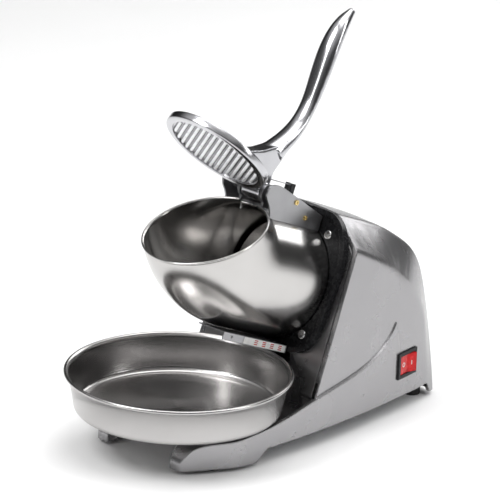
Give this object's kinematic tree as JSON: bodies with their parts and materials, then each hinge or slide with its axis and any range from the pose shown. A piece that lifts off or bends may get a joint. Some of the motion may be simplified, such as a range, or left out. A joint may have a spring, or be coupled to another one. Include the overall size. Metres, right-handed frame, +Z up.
{
  "type": "shaved ice machine",
  "caption": "Electric ice shaver with a cast base, inclined steel hopper, hinged press lever, rotating blade disc and a loose steel catch pan.",
  "frame": {"origin": "on the table under the middle of the bounding box, with the lever raised", "axes": "+Z up, the pan in front towards -Y, the power switch side towards +X"},
  "size_m": [0.215, 0.4, 0.3887],
  "materials": {
    "cast_silver": "satin silver metallic paint over cast aluminium",
    "cast_inner": "satin silver metallic paint",
    "polished_steel": "polished stainless steel",
    "polished_alloy": "polished cast alloy",
    "bracket_steel": "satin pressed steel",
    "black_cast": "black satin coating",
    "screw_steel": "bright plated steel",
    "brass": "plain brass",
    "dark_steel": "oiled steel",
    "black_plastic": "moulded black",
    "red_plastic": "glossy red",
    "rubber_black": "moulded rubber",
    "copper": "enamelled copper",
    "zinc_steel": "zinc-plated sheet",
    "white_label": "printed film",
    "lamination": "stacked electrical steel",
    "nylon": "natural nylon"
  },
  "bodies": {
    "housing": {"main_housing": "cast_silver", "front_frame": "cast_inner", "blade_housing": "black_cast", "flange_screws": "screw_steel", "hopper": "polished_steel", "ice_guard": "bracket_steel", "guard_label": "white_label", "hinge_bracket": "bracket_steel", "bracket_rivets": "screw_steel", "hinge_pin": "dark_steel", "hinge_pin_nut": "screw_steel", "microswitch_body": "black_plastic", "microswitch_screws": "brass", "leaf_carrier": "black_plastic", "shaft_seal": "rubber_black", "motor_front_bell": "zinc_steel", "motor_rear_bell": "zinc_steel", "motor_bolts": "screw_steel", "motor_can": "zinc_steel", "front_bearing": "dark_steel", "rear_bearing": "dark_steel", "stator_core": "lamination", "field_windings": "copper", "brush_holders": "black_plastic", "foot_front_left": "rubber_black", "foot_front_right": "rubber_black", "foot_rear_left": "rubber_black", "foot_rear_right": "rubber_black", "bottom_plate": "zinc_steel", "base_screws": "screw_steel", "switch_body": "black_plastic", "switch_terminals": "brass", "cord_grommet": "rubber_black", "terminal_block": "nylon"},
    "press_lever": {"lever_handle": "polished_alloy", "hinge_bush": "nylon", "press_plate": "polished_alloy", "press_plate_screws": "screw_steel"},
    "blade_spindle": {"motor_shaft": "dark_steel", "rotor_core": "lamination", "commutator": "copper", "cooling_fan": "black_plastic", "blade_disc": "polished_steel", "blades": "polished_steel", "blade_screws": "screw_steel", "disc_nut": "screw_steel"},
    "catch_pan": {"pan": "polished_steel"},
    "rocker": {"switch_rocker": "red_plastic"},
    "switch_leaf": {"microswitch_leaf": "dark_steel"}
  },
  "joints": [
    {"name": "lever_hinge", "type": "hinge", "parent": "housing", "child": "press_lever", "pos_m": [0, 0.002, 0.233], "axis": [1, 0, 0], "range_deg": [0, 120]},
    {"name": "spindle_spin", "type": "hinge", "parent": "housing", "child": "blade_spindle", "pos_m": [0, 0.0435, 0.138], "axis": [0, -0.9272, 0.3746], "continuous": true},
    {"name": "pan_lift", "type": "slide", "parent": "housing", "child": "catch_pan", "axis": [0, -1, 0], "range_m": [0, 0.12]},
    {"name": "rocker_tilt", "type": "hinge", "parent": "housing", "child": "rocker", "pos_m": [0.06967, 0.14334, 0.047], "axis": [0, 0, 1], "range_deg": [0, 16]},
    {"name": "leaf_flex", "type": "hinge", "parent": "housing", "child": "switch_leaf", "pos_m": [0.023, 0.02398, 0.23918], "axis": [1, 0, 0], "range_deg": [0, 6], "stiffness_Nm_per_rad": 0.01}
  ]
}
